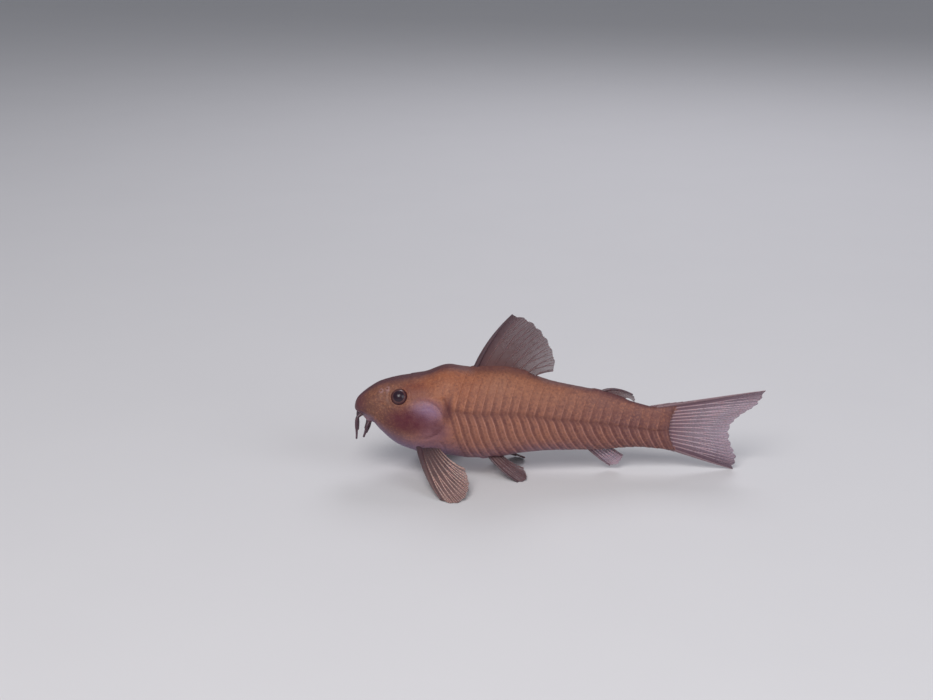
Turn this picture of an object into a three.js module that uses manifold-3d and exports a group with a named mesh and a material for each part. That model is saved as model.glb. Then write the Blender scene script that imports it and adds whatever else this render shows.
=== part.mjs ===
// An orange corydoras catfish, life size, standing on its fins with the head to -X and its left side to -Y.
// Millimetres, +Z up. The floor is z = 0, and the origin is on the floor under the middle of the fish.
import * as THREE from "three";
import { mergeVertices } from "three/addons/utils/BufferGeometryUtils.js";
import Module from "manifold-3d";

const wasm = await Module();
wasm.setup();

// Driving sizes of the body
const STANDARD_LENGTH = 40; // snout to the root of the tail rays
const SNOUT_X = -26; // the snout's foremost point
const GAP = 0.3; // between any two pieces that meet
const HEAD_END = 11.6; // from the snout to the first scute, on the lateral line
const TRUNK_END = 27.1; // from the snout to the tail stalk's first scute
const SCUTE_COUNT = 24; // in each row, from the head to the tail fin
const TRUNK_SCUTES = 14; // of these, the ones on the trunk
const SCUTE_RISE = 0.24; // a scute's rear edge above the next one
const TAIL_RISE = 0.6; // share of that rise left at the tail fin
const UPPER_SWEEP = 2.1; // how far a scute's top end lies behind its end at the lateral line
const LOWER_SWEEP = 3.3; // the same for the lower row's bottom end
const TAIL_SWEEP = 0.45; // share of both sweeps left at the tail fin
const SWEEP_START = 5; // how far in front of the scutes the rings begin to lean
const STEP = 0.06; // along the body, over which a scute's rear edge falls
const TAIL_INSET = 0.4; // from the last scute to the root of the tail rays

// The body's outline, each row: distance behind the snout, back, belly, half width
const OUTLINE = [
  [0, 8.5, 8.5, 0],
  [0.3, 9.6, 8.1, 1.15],
  [0.9, 10.25, 7.9, 1.75],
  [2.0, 11.1, 7.3, 2.4],
  [3.3, 11.87, 5.8, 2.95],
  [5.8, 12.55, 3.8, 3.7],
  [8.9, 13.0, 2.9, 4.3],
  [12.1, 14.0, 2.5, 4.5],
  [15.0, 13.65, 2.15, 4.35],
  [18.4, 13.65, 2.25, 3.95],
  [21.0, 13.2, 2.65, 3.5],
  [25.0, 11.88, 2.95, 2.85],
  [31.0, 10.6, 3.0, 1.95],
  [36.0, 8.93, 3.2, 1.25],
  [38.0, 8.5, 3.0, 1.0],
  [40.0, 8.65, 2.75, 0.7],
];
const WIDEST_LEVEL = 0.42; // share of the body's depth, from the belly
const BACK_ROUND = 2.05; // superellipse power of the section's upper half
const BELLY_ROUND = 2.7; // and of its lower half, which is flatter
const LINE_AT_HEAD = 0.6; // the lateral line's level at the head, as a share of the depth
const LINE_AT_TAIL = 0.46; // and at the tail
const UPPER_COLUMNS = [0, 0.16, 0.36, 0.56, 0.76, 0.93, 1]; // from the back to the lateral line
const LOWER_COLUMNS = [0.06, 0.2, 0.36, 0.52, 0.68, 0.84, 1]; // from there to the belly
const UPPER_RISE = [0, 0.6, 1, 1, 1, 0.85, 0]; // share of a scute's rise at each upper column
const LOWER_RISE = [0.85, 1, 1, 1, 0.8, 0, 0]; // and at each lower one, down to the bare belly

const { lerp, clamp, smoothstep } = THREE.MathUtils;
const point = (x, y, z) => new THREE.Vector3(x, y, z);

// A smooth curve through one column of the outline, read against the square root of the distance,
// which makes the snout blunt and round.
function outlineCurve(column) {
  const keys = OUTLINE.map((row) => Math.sqrt(row[0]));
  const values = OUTLINE.map((row) => row[column]);
  const rises = keys.slice(1).map((k, i) => (values[i + 1] - values[i]) / (k - keys[i]));
  const slopes = keys.map((_, i) => {
    const before = rises[Math.max(i - 1, 0)];
    const after = rises[Math.min(i, rises.length - 1)];
    return before * after <= 0 ? 0 : (2 * before * after) / (before + after);
  });
  return (distance) => {
    const at = Math.sqrt(clamp(distance, 0, STANDARD_LENGTH));
    const i = clamp(keys.findIndex((k) => k > at) - 1, 0, keys.length - 2);
    const last = at >= keys[keys.length - 1] ? keys.length - 2 : i;
    const span = keys[last + 1] - keys[last];
    const u = (at - keys[last]) / span;
    return (
      (2 * u ** 3 - 3 * u ** 2 + 1) * values[last] +
      (u ** 3 - 2 * u ** 2 + u) * span * slopes[last] +
      (3 * u ** 2 - 2 * u ** 3) * values[last + 1] +
      (u ** 3 - u ** 2) * span * slopes[last + 1]
    );
  };
}
const backAt = outlineCurve(1);
const bellyAt = outlineCurve(2);
const widthAt = outlineCurve(3);

// The share of the half section, 0 at the back and 1 at the belly, at which the lateral line lies.
function lineShare(distance) {
  const along = clamp((distance - HEAD_END) / (STANDARD_LENGTH - HEAD_END), 0, 1);
  const level = lerp(LINE_AT_HEAD, LINE_AT_TAIL, along);
  const rise = (level - WIDEST_LEVEL) / (1 - WIDEST_LEVEL);
  return Math.acos(rise ** (BACK_ROUND / 2)) / Math.PI;
}

// A point of the skin: distance behind the snout, share of the half section, side (-1 left, 1 right),
// and how far it stands out from the plain body.
function skin(distance, share, side, out = 0) {
  const top = backAt(distance) + out;
  const bottom = bellyAt(distance) - out;
  const middle = lerp(bottom, top, WIDEST_LEVEL);
  const half = widthAt(distance) + out;
  const angle = share * Math.PI;
  const power = 2 / (share <= 0.5 ? BACK_ROUND : BELLY_ROUND);
  const across = Math.abs(Math.sin(angle)) ** power;
  const along = Math.abs(Math.cos(angle)) ** power;
  const z = share <= 0.5 ? lerp(middle, top, along) : lerp(middle, bottom, along);
  return point(SNOUT_X + distance, side * half * across, z);
}

// How far behind its place on the lateral line a ring lies, at each share of the half section.
function sweep(distance, share) {
  const line = lineShare(distance);
  const amount = smoothstep(distance, HEAD_END - SWEEP_START, HEAD_END);
  const shrink = lerp(1, TAIL_SWEEP, smoothstep(distance, TRUNK_END, STANDARD_LENGTH));
  const above = UPPER_SWEEP * (1 - share / line);
  const below = LOWER_SWEEP * (Math.max(share - line, 0) / (1 - line)) ** 0.8;
  return amount * shrink * (share < line ? above : below);
}

// One ring round the body as points, from the back down the left side and up the right. It stands out
// from the plain body by out all round, and by rise more where there are scutes.
function ring(distance, out, rise = 0) {
  const line = lineShare(distance);
  const shares = [...UPPER_COLUMNS.map((c) => c * line), ...LOWER_COLUMNS.map((c) => line + c * (1 - line))];
  const rises = [...UPPER_RISE, ...LOWER_RISE];
  const onSide = (side) =>
    shares.map((share, i) => {
      const place = Math.min(distance + sweep(distance, share), STANDARD_LENGTH);
      return skin(place, share, side, out + rise * rises[i]);
    });
  const left = onSide(-1);
  const right = onSide(1).slice(1, -1).reverse();
  return [...left, ...right];
}

// A closed geometry from rings of equal count, with a fan at each end.
function loft(rings) {
  const count = rings[0].length;
  const middleOf = (points) => points.reduce((sum, p) => sum.add(p), point(0, 0, 0)).divideScalar(count);
  const first = middleOf(rings[0]);
  const last = middleOf(rings[rings.length - 1]);
  const vertices = [...rings.flat(), first, last].flatMap((p) => [p.x, p.y, p.z]);
  const faces = [];
  const next = (j) => (j + 1) % count;
  for (let i = 0; i + 1 < rings.length; i++) {
    for (let j = 0; j < count; j++) {
      const [a, b] = [i * count + j, i * count + next(j)];
      faces.push(a, b, b + count, a, b + count, a + count);
    }
  }
  const start = rings.length * count;
  for (let j = 0; j < count; j++) {
    faces.push(start, next(j), j, start + 1, start - count + j, start - count + next(j));
  }
  return new THREE.BufferGeometry()
    .setAttribute("position", new THREE.Float32BufferAttribute(vertices, 3))
    .setIndex(faces);
}

// A closed mesh as a solid that can be cut and joined, turned to face outwards.
function solid(geometry) {
  const plain = geometry.index ? geometry.toNonIndexed() : geometry.clone();
  plain.deleteAttribute("normal");
  plain.deleteAttribute("uv");
  const merged = mergeVertices(plain, 1e-4);
  const make = (triVerts) =>
    new wasm.Manifold(
      new wasm.Mesh({ numProp: 3, vertProperties: merged.attributes.position.array, triVerts }),
    );
  const made = make(new Uint32Array(merged.index.array));
  return made.volume() > 0 ? made : make(new Uint32Array(merged.index.array).reverse());
}

// The largest closed body of a solid, as a named mesh.
function piece(name, body, material) {
  const whole = body.decompose().reduce((a, b) => (b.volume() > a.volume() ? b : a));
  const { vertProperties, triVerts } = whole.getMesh();
  const geometry = new THREE.BufferGeometry()
    .setAttribute("position", new THREE.BufferAttribute(vertProperties, 3))
    .setIndex(new THREE.BufferAttribute(triVerts, 1));
  geometry.computeVertexNormals();
  const mesh = new THREE.Mesh(geometry, material);
  mesh.name = name;
  return mesh;
}

// Plain body solid between two distances, stood out by a given amount.
function plainBody(from, to, out, steps, rise = 0) {
  const rings = [];
  for (let i = 0; i <= steps; i++) {
    const reach = lerp(Math.sqrt(from), Math.sqrt(to), i / steps) ** 2;
    rings.push(ring(reach, out, rise));
  }
  return solid(loft(rings));
}

// A tapered round feeler along a curve.
function feeler(points, rootRadius, tipRadius) {
  const sides = 8;
  const steps = 9;
  const curve = new THREE.CatmullRomCurve3(points);
  const frames = curve.computeFrenetFrames(steps);
  const rings = frames.normals.map((normal, i) => {
    const radius = lerp(rootRadius, tipRadius, (i / steps) ** 1.2);
    const centre = curve.getPointAt(i / steps);
    return Array.from({ length: sides }, (_, j) => {
      const angle = (j / sides) * 2 * Math.PI;
      return centre
        .clone()
        .addScaledVector(normal, radius * Math.cos(angle))
        .addScaledVector(frames.binormals[i], radius * Math.sin(angle));
    });
  });
  return solid(loft(rings));
}

// Driving sizes of the fins
const WEB = 0.5; // a fin's web
const RAY = 0.78; // a soft ray at its root
const TIP = 0.3; // a ray's tip
const SPINE = 1.05; // a stiff leading spine at its root
const FIN_ROWS = 7; // steps from root to tip
const NOTCH = 0.03; // how far the web falls short between two ray tips, as a share of the ray

// A fin as one closed body: rays from roots to tips as ridges, with the web between them.
// curl bends every ray backwards, and bulge bows the whole fin to one side.
function fin({ roots, tips, hasSpine = true, curl = point(0, 0, 0), bulge = point(0, 0, 0) }) {
  const columns = 2 * roots.length - 1;
  const at = (list, j) => list[Math.floor(j / 2)].clone().lerp(list[Math.ceil(j / 2)], 0.5);
  const centres = [];
  const halves = [];
  for (let i = 0; i <= FIN_ROWS; i++) {
    const u = i / FIN_ROWS;
    centres.push([]);
    halves.push([]);
    for (let j = 0; j < columns; j++) {
      const isRay = j % 2 === 0;
      const reach = isRay ? u : u * (1 - NOTCH * u);
      const across = Math.sin((Math.PI * j) / (columns - 1));
      const place = at(roots, j)
        .lerp(at(tips, j), reach)
        .addScaledVector(curl, reach * (1 - reach) * 4)
        .addScaledVector(bulge, Math.sin(Math.PI * reach * 0.9) * across);
      const root = j === 0 && hasSpine ? SPINE : isRay ? RAY : WEB;
      centres[i].push(place);
      halves[i].push(lerp(root, isRay ? TIP * 1.3 : TIP, u ** 1.6) / 2);
    }
  }
  const grid = (sign) =>
    centres.map((row, i) =>
      row.map((p, j) => {
        const alongRay = centres[Math.min(i + 1, FIN_ROWS)][j].clone().sub(centres[Math.max(i - 1, 0)][j]);
        const across = row[Math.min(j + 1, columns - 1)].clone().sub(row[Math.max(j - 1, 0)]);
        const normal = alongRay.cross(across).normalize();
        return p.clone().addScaledVector(normal, sign * halves[i][j]);
      }),
    );
  const rings = grid(1).map((row, i) => [...row, ...grid(-1)[i].reverse()]);
  const vertices = rings.flat().flatMap((p) => [p.x, p.y, p.z]);
  const faces = [];
  const count = 2 * columns;
  for (let i = 0; i < FIN_ROWS; i++) {
    for (let j = 0; j < count; j++) {
      const k = (j + 1) % count;
      const [a, b] = [i * count + j, i * count + k];
      const [c, d] = [b + count, a + count];
      const onRear = j >= columns && j < count - 1;
      faces.push(...(onRear ? [a, b, d, b, c, d] : [a, b, c, a, c, d]));
    }
  }
  for (const [row, flip] of [[0, true], [FIN_ROWS, false]]) {
    for (let j = 0; j + 1 < columns; j++) {
      const [a, b, c, d] = [j, j + 1, count - 2 - j, count - 1 - j].map((k) => row * count + k);
      faces.push(...(flip ? [a, c, b, a, d, c] : [a, b, c, a, c, d]));
    }
  }
  const geometry = new THREE.BufferGeometry()
    .setAttribute("position", new THREE.Float32BufferAttribute(vertices, 3))
    .setIndex(faces);
  return solid(geometry);
}

// Points spread evenly along a curve through the given ones, one for each ray.
function spread(points, count) {
  const curve = new THREE.CatmullRomCurve3(points);
  return Array.from({ length: count }, (_, i) => curve.getPointAt(i / (count - 1)));
}

const mirrored = (points) => points.map((p) => point(p.x, -p.y, p.z));

// Materials, in the colours of the fish
const skinOf = (color, roughness = 0.5) => new THREE.MeshStandardMaterial({ color, roughness, metalness: 0 });
const flank = skinOf(0xb9713f);
const face = skinOf(0xa8673d);
const cover = skinOf(0xa86a6a, 0.4);
const web = skinOf(0xa88a78, 0.45);
const barbel = skinOf(0x8a5a48);
const eyeball = skinOf(0x1c1012, 0.12);

const fish = new THREE.Group();
const add = (name, body, material) => fish.add(piece(name, body, material));

// What the fins and the eyes must stay clear of: the body with its scutes, and the gap
const ENVELOPE_RINGS = 34;
const envelope = plainBody(0, STANDARD_LENGTH, GAP, ENVELOPE_RINGS, SCUTE_RISE);
const FLOOR = { length: 80, width: 60, depth: 10 };
const ground = new THREE.BoxGeometry(FLOOR.length, FLOOR.width, FLOOR.depth);
const floor = solid(ground.translate(0, 0, -FLOOR.depth / 2));

// Rings of a stretch of armour: each scute rises from under the one before it to its own rear edge.
function armour(first, last, from, to) {
  const rings = [];
  const pitch = (to - from) / (last - first);
  for (let k = 0; k < last - first; k++) {
    const front = from + k * pitch;
    const rise = SCUTE_RISE * lerp(1, TAIL_RISE, (first + k) / SCUTE_COUNT);
    rings.push(ring(front + STEP / 2, 0), ring(front + pitch - STEP / 2, 0, rise));
  }
  return rings;
}

// Trunk and tail stalk
const trunkRings = armour(0, TRUNK_SCUTES, HEAD_END + GAP / 2, TRUNK_END - GAP / 2);
const stalkRings = armour(TRUNK_SCUTES, SCUTE_COUNT, TRUNK_END + GAP / 2, STANDARD_LENGTH - TAIL_INSET);
add("trunk", solid(loft(trunkRings)), flank);
add("tail_stalk", solid(loft(stalkRings)), flank);

// Head: eye sockets, nostrils, mouth and the seats of the gill covers are cut into one smooth form
const EYE = { behind: 5.8, level: 10.45, out: 2.34, radius: 1.12 };
const NOSTRILS = [
  { behind: 3.35, share: 0.2 },
  { behind: 4.15, share: 0.185 },
];
const NOSTRIL = { radius: 0.26, rim: 0.13 }; // a low ring round each hole
const COVER = { behind: 8.4, level: 7.95, length: 5.3, height: 4.4, tilt: 0.25, thick: 0.55, proud: 0.12 };
const MOUTH = { behind: 1.05, upper: 7.8, lower: 7.0, half: 1.15, lip: 0.42 };
const MOUTH_LINE = { depth: 2, gape: 0.2, tilt: 0.25 }; // the slot between the lips

const ball = (at, radius, detail = 18) =>
  solid(new THREE.SphereGeometry(radius, detail, Math.round(detail * 0.6)).translate(at.x, at.y, at.z));
const eyeAt = (side) => point(SNOUT_X + EYE.behind, side * EYE.out, EYE.level);

// A rounded teardrop through the gill cover's outline, as a block reaching out from the middle plane.
function coverBlock(side, grow) {
  const a = COVER.length / 2 + grow;
  const b = COVER.height / 2 + grow;
  const outline = new THREE.Shape();
  outline.moveTo(-a, -0.15 * b);
  outline.bezierCurveTo(-a, 0.75 * b, -0.2 * a, b, 0.35 * a, 0.9 * b);
  outline.bezierCurveTo(0.95 * a, 0.75 * b, a, 0.2 * b, 0.9 * a, -0.2 * b);
  outline.bezierCurveTo(0.75 * a, -0.85 * b, 0.2 * a, -b, -0.25 * a, -0.95 * b);
  outline.bezierCurveTo(-0.8 * a, -0.85 * b, -a, -0.6 * b, -a, -0.15 * b);
  const depth = 7;
  const block = new THREE.ExtrudeGeometry(outline, { depth, bevelEnabled: false, curveSegments: 7 });
  block.rotateX(Math.PI / 2).rotateY(-COVER.tilt);
  block.translate(SNOUT_X + COVER.behind, 0, COVER.level);
  return solid(side < 0 ? block : block.translate(0, depth, 0));
}

const HEAD_RINGS = 26;
const headForm = (out) => plainBody(0, HEAD_END - GAP / 2, out, HEAD_RINGS);
const headCore = headForm(-(COVER.thick + GAP));
const coverCore = headForm(-COVER.thick);
const coverSkin = headForm(COVER.proud);

let head = headForm(0);
for (const side of [-1, 1]) {
  const seat = coverBlock(side, GAP);
  head = head.subtract(seat.subtract(headCore));
  head = head.subtract(ball(eyeAt(side), EYE.radius + GAP));
  for (const { behind, share } of NOSTRILS) {
    const at = skin(behind, share, side);
    const rim = new THREE.TorusGeometry(NOSTRIL.radius, NOSTRIL.rim, 6, 12);
    const outwards = skin(behind, share, side, 1).sub(at).normalize();
    rim.applyQuaternion(new THREE.Quaternion().setFromUnitVectors(point(0, 0, 1), outwards));
    head = head.subtract(ball(at, NOSTRIL.radius, 10)).add(solid(rim.translate(at.x, at.y, at.z)));
  }
}

// Lips: two half rings round the small mouth under the snout, with the line of the mouth between them
function lips(grow) {
  const halfRing = (level, rise) => {
    const route = [-1, -0.55, 0, 0.55, 1].map((across) =>
      point(SNOUT_X + MOUTH.behind + across ** 2, MOUTH.half * across, level + rise * across ** 2),
    );
    return feeler(route, MOUTH.lip + grow, MOUTH.lip + grow);
  };
  return halfRing(MOUTH.upper, -0.1).add(halfRing(MOUTH.lower, 0.5));
}
const mouthLine = new THREE.BoxGeometry(MOUTH_LINE.depth, 2 * (MOUTH.half + MOUTH_LINE.gape), MOUTH_LINE.gape);
mouthLine.rotateY(MOUTH_LINE.tilt).translate(SNOUT_X + MOUTH.behind, 0, lerp(MOUTH.lower, MOUTH.upper, 0.55));
head = head.add(lips(0)).subtract(solid(mouthLine));
add("head", head, face);

for (const [side, word] of [[-1, "left"], [1, "right"]]) {
  add(`${word}_eye`, ball(eyeAt(side), EYE.radius, 20), eyeball);
  add(`${word}_gill_cover`, coverSkin.intersect(coverBlock(side, 0)).subtract(coverCore), cover);
}

// Barbels: two at each corner of the mouth, and one at each side of the chin
const corner = (side) => point(SNOUT_X + MOUTH.behind + 0.7, side * (MOUTH.half + 0.1), MOUTH.upper - 0.35);
const BARBELS = {
  upper_barbel: [[-0.8, -0.3, 0.4], [-1.36, 0.1, 0.1], [-1.5, 0.4, -0.8], [-1.46, 0.5, -2.6]],
  lower_barbel: [[0.1, 0, -0.4], [-0.2, 0.35, -1.1], [-0.35, 0.45, -1.7], [-0.6, 0.45, -2.4]],
  chin_barbel: [[0.15, -0.65, -0.9], [0.05, -0.6, -1.3], [-0.1, -0.5, -1.7], [-0.3, -0.4, -2.1]],
};
const BARBEL_ROOT = 0.28;
const BARBEL_TIP = 0.12;
// A barbel starts a gap clear of the head and its lips.
const headClear = headForm(GAP).add(lips(GAP));
for (const [side, word] of [[-1, "left"], [1, "right"]]) {
  for (const [name, route] of Object.entries(BARBELS)) {
    const points = route.map(([x, y, z]) => corner(side).add(point(x, side * y, z)));
    add(`${word}_${name}`, feeler(points, BARBEL_ROOT, BARBEL_TIP).subtract(headClear), barbel);
  }
}

// Fins. Each is grown from inside the body and cut back to the gap, so that its root follows the skin.
const SUNK = 1.2; // how far a root starts under the skin, before the cut
const back = (distance) => point(SNOUT_X + distance, 0, backAt(distance) - SUNK);
const under = (distance) => point(SNOUT_X + distance, 0, bellyAt(distance) + SUNK);

const DORSAL_RAYS = 8;
const dorsal = fin({
  roots: spread([back(14.9), back(18.5), back(21.9)], DORSAL_RAYS),
  tips: spread(
    [
      point(-6.1, 0, 20.6),
      point(-4.3, 0, 20.1),
      point(-2.6, 0, 18.6),
      point(-1.2, 0, 16.3),
      point(-0.7, 0, 14.3),
      point(-0.9, 0, 13.2),
    ],
    DORSAL_RAYS,
  ),
  curl: point(-0.5, 0, 0.25),
});
add("dorsal_fin", dorsal.subtract(envelope), web);

const ADIPOSE_RAYS = 4;
const adipose = fin({
  roots: spread([back(30.2), back(32.2), back(34.0)], ADIPOSE_RAYS),
  tips: spread([point(9.2, 0, 10.1), point(9.5, 0, 9.6), point(9.5, 0, 9.0)], ADIPOSE_RAYS),
  curl: point(-0.4, 0, 0.95),
});
add("adipose_fin", adipose.subtract(envelope), web);

const ANAL_RAYS = 7;
const anal = fin({
  roots: spread([under(28.4), under(29.8), under(31.4)], ANAL_RAYS),
  tips: spread([point(6.5, 0, 0.45), point(7.7, 0, 0.9), point(8.2, 0, 2.0)], ANAL_RAYS),
  curl: point(0, 0, -0.2),
});
add("anal_fin", anal.subtract(envelope), web);

const TAIL_RAYS = 14;
const tail = fin({
  roots: spread([point(12.3, 0, 8.4), point(12.9, 0, 5.9), point(12.3, 0, 3.5)], TAIL_RAYS),
  tips: spread(
    [
      point(26, 0, 10.6),
      point(25.1, 0, 9.0),
      point(22.9, 0, 7.2),
      point(21.7, 0, 5.6),
      point(21.8, 0, 3.8),
      point(22.6, 0, 1.7),
      point(22.3, 0, -0.1),
    ],
    TAIL_RAYS,
  ),
  hasSpine: false,
});
add("caudal_fin", tail.subtract(envelope).subtract(floor), web);

const PECTORAL_RAYS = 8;
const pectoralRoots = [point(-17.9, -2.9, 4.5), point(-16.8, -3.0, 4.7), point(-15.9, -2.7, 4.8)];
const pectoralTips = [
  point(-14.9, -11.0, -0.15),
  point(-13.6, -11.9, -0.15),
  point(-12.2, -11.2, 0.25),
  point(-11.5, -9.0, 1.3),
  point(-12.0, -6.6, 2.6),
];
const pelvicRoots = [point(-9.7, -1.5, 3.4), point(-9.0, -1.3, 3.5), point(-8.4, -1.0, 3.5)];
const pelvicTips = [
  point(-5.4, -4.7, -0.12),
  point(-4.5, -4.3, -0.12),
  point(-4.2, -3.1, 0.4),
  point(-4.6, -2.2, 1.0),
];
const PELVIC_RAYS = 6;
for (const [side, word] of [[-1, "left"], [1, "right"]]) {
  const turn = side < 0 ? (list) => list : mirrored;
  const pectoral = fin({
    roots: spread(turn(pectoralRoots), PECTORAL_RAYS),
    tips: spread(turn(pectoralTips), PECTORAL_RAYS),
    curl: point(-0.3, side * 0.5, -0.2),
  });
  add(`${word}_pectoral_fin`, pectoral.subtract(envelope).subtract(floor), web);
  const pelvic = fin({
    roots: spread(turn(pelvicRoots), PELVIC_RAYS),
    tips: spread(turn(pelvicTips), PELVIC_RAYS),
    curl: point(-0.2, side * 0.3, -0.2),
  });
  add(`${word}_pelvic_fin`, pelvic.subtract(envelope).subtract(floor), web);
}

export default fish;
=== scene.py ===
"""An orange corydoras catfish, life size, standing on its fins with its head to -X and its left side to -Y.

Shapes are worked out in millimetres and written to the meshes in metres. The floor is z = 0.
"""
import math
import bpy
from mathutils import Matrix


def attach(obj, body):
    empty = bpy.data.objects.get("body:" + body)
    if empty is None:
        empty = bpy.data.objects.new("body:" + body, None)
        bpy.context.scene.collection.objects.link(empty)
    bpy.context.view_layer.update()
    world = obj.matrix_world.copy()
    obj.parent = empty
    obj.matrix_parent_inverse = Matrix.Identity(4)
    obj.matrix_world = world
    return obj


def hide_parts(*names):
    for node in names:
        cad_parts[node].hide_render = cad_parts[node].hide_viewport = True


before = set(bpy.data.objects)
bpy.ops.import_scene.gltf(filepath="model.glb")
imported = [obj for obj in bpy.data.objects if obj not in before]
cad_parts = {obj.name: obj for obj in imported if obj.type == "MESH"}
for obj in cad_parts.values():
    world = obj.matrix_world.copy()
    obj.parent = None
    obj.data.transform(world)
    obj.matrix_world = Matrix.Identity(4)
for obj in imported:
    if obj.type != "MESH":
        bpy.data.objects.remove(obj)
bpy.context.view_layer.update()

from types import SimpleNamespace

import bpy
import numpy as np
from mathutils import Vector

MM = 0.001

# Driving sizes of the body, in millimetres
STANDARD_LENGTH = 40.0
SNOUT_X = -26.0
HEAD_END = 11.6
TRUNK_END = 27.1
STALK_END = 39.6
SKIN_END = 41.5
TAIL_HOLLOW = 1.7  # how far forwards the rear edge of the skin is drawn at mid height
TAIL_EDGE = 0.13  # half the thickness of that edge
TRUNK_SCUTES = 14
STALK_SCUTES = 10
UPPER_SWEEP = 2.1  # how far a scute's top end lies behind its end at the lateral line
LOWER_SWEEP = 3.3  # the same for the lower row's bottom end
TAIL_SWEEP = 0.45  # share of both sweeps left at the tail fin
SWEEP_START = 5  # how far in front of the scutes the rings begin to lean
WIDEST_LEVEL = 0.42
BACK_ROUND = 2.05
BELLY_ROUND = 2.7
LINE_AT_HEAD = 0.6
LINE_AT_TAIL = 0.46

# The body's outline, each row: distance behind the snout, back, belly, half width
OUTLINE = np.array([
    [0, 8.5, 8.5, 0],
    [0.3, 9.6, 8.1, 1.15],
    [0.9, 10.25, 7.9, 1.75],
    [2.0, 11.1, 7.3, 2.4],
    [3.3, 11.87, 5.8, 2.95],
    [5.8, 12.55, 3.8, 3.7],
    [8.9, 13.0, 2.9, 4.3],
    [12.1, 14.0, 2.5, 4.5],
    [15.0, 13.65, 2.15, 4.35],
    [18.4, 13.65, 2.25, 3.95],
    [21.0, 13.2, 2.65, 3.5],
    [25.0, 11.88, 2.95, 2.85],
    [31.0, 10.6, 3.0, 1.95],
    [36.0, 8.93, 3.2, 1.25],
    [38.0, 8.5, 3.0, 1.0],
    [40.0, 8.65, 2.75, 0.7],
    [SKIN_END, 8.9, 2.5, 0.12],
])


# Small helpers on arrays

def lerp(a, b, u):
    """The point a share u of the way from a to b."""
    return a + (b - a) * u


def ease(x, low, high):
    """0 below low, 1 above high, and 3u^2 - 2u^3 of the share u between them."""
    u = np.clip((x - low) / (high - low), 0, 1)
    return u * u * (3 - 2 * u)


def bump(x, width):
    """A bell of height 1 at x = 0: e to the minus (x over width) squared."""
    return np.exp(-((x / width) ** 2))


def unit(v):
    """Vectors of length 1, with none for a vector of no length."""
    return v / np.maximum(np.linalg.norm(v, axis=-1, keepdims=True), 1e-12)


def near(points, line):
    """The distance of each point to the nearest of a line's points, in steps that keep the arrays small."""
    flat = points.reshape(-1, 3)
    found = np.full(len(flat), np.inf)
    for place in line:
        found = np.minimum(found, ((flat - place) ** 2).sum(1))
    return np.sqrt(found).reshape(points.shape[:-1])


def smooth_curve(points, count):
    """Evenly spaced points on a centripetal Catmull-Rom curve through the given ones."""
    p = np.array(points, float)
    p = np.vstack([2 * p[0] - p[1], p, 2 * p[-1] - p[-2]])
    knots = np.concatenate([[0], np.cumsum(np.linalg.norm(np.diff(p, axis=0), axis=1) ** 0.5)])
    pieces = []
    for i in range(1, len(p) - 2):
        t = np.linspace(knots[i], knots[i + 1], 60)[:, None]
        t0, t1, t2, t3 = knots[i - 1:i + 3]
        a1 = lerp(p[i - 1], p[i], (t - t0) / (t1 - t0))
        a2 = lerp(p[i], p[i + 1], (t - t1) / (t2 - t1))
        a3 = lerp(p[i + 1], p[i + 2], (t - t2) / (t3 - t2))
        b1 = lerp(a1, a2, (t - t0) / (t2 - t0))
        b2 = lerp(a2, a3, (t - t1) / (t3 - t1))
        pieces.append(lerp(b1, b2, (t - t1) / (t2 - t1)))
    fine = np.vstack(pieces)
    reach = np.concatenate([[0], np.cumsum(np.linalg.norm(np.diff(fine, axis=0), axis=1))])
    even = np.linspace(0, reach[-1], count)
    return np.stack([np.interp(even, reach, fine[:, k]) for k in range(3)], 1)


def grid_faces(rows, columns):
    """Quads between neighbours of a grid of rows by columns, with the last column joined to the first."""
    i, j = np.meshgrid(np.arange(rows - 1), np.arange(columns), indexing="ij")
    k = (j + 1) % columns
    corners = [i * columns + j, i * columns + k, (i + 1) * columns + k, (i + 1) * columns + j]
    return np.stack(corners, -1).reshape(-1, 4)


def grid_normals(points):
    """Unit normals of a grid that is closed round, from the cross product of its two central differences."""
    down = np.gradient(points, axis=0)
    across = np.roll(points, -1, 1) - np.roll(points, 1, 1)
    return unit(np.cross(down, across))


def fan(ring, tip):
    """Triangles from each edge of a closed ring of vertex numbers to one tip."""
    ring = np.asarray(ring)
    return np.stack([ring, np.roll(ring, -1), np.full(len(ring), tip)], 1)


def make_piece(name, points, quads, triangles, attributes):
    """A mesh piece from points in millimetres, turned to face outwards by the sign of its volume."""
    points = np.asarray(points, float).reshape(-1, 3)
    faces = [np.asarray(q, int) for q in (quads, triangles) if len(q)]
    loose = [f[:, [0, a, a + 1]] for f in faces for a in range(1, f.shape[1] - 1)]
    tris = np.vstack(loose)
    p = points[tris]
    volume = np.einsum("ij,ij->i", p[:, 0], np.cross(p[:, 1], p[:, 2])).sum()
    if volume < 0:
        faces = [f[:, ::-1] for f in faces]
    mesh = bpy.data.meshes.new(name)
    corners = np.concatenate([f.ravel() for f in faces])
    sides = np.concatenate([np.full(len(f), f.shape[1]) for f in faces])
    mesh.vertices.add(len(points))
    mesh.vertices.foreach_set("co", (points * MM).ravel())
    mesh.loops.add(len(corners))
    mesh.loops.foreach_set("vertex_index", corners)
    mesh.polygons.add(len(sides))
    mesh.polygons.foreach_set("loop_start", np.concatenate([[0], np.cumsum(sides)[:-1]]))
    mesh.polygons.foreach_set("loop_total", sides)
    mesh.update(calc_edges=True)
    mesh.validate()
    mesh.polygons.foreach_set("use_smooth", np.full(len(sides), True))
    for key, values in attributes.items():
        layer = mesh.attributes.new(key, "FLOAT", "POINT")
        layer.data.foreach_set("value", np.asarray(values, np.float32).ravel())
    piece = bpy.data.objects.new(name, mesh)
    bpy.context.scene.collection.objects.link(piece)
    return piece


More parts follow.
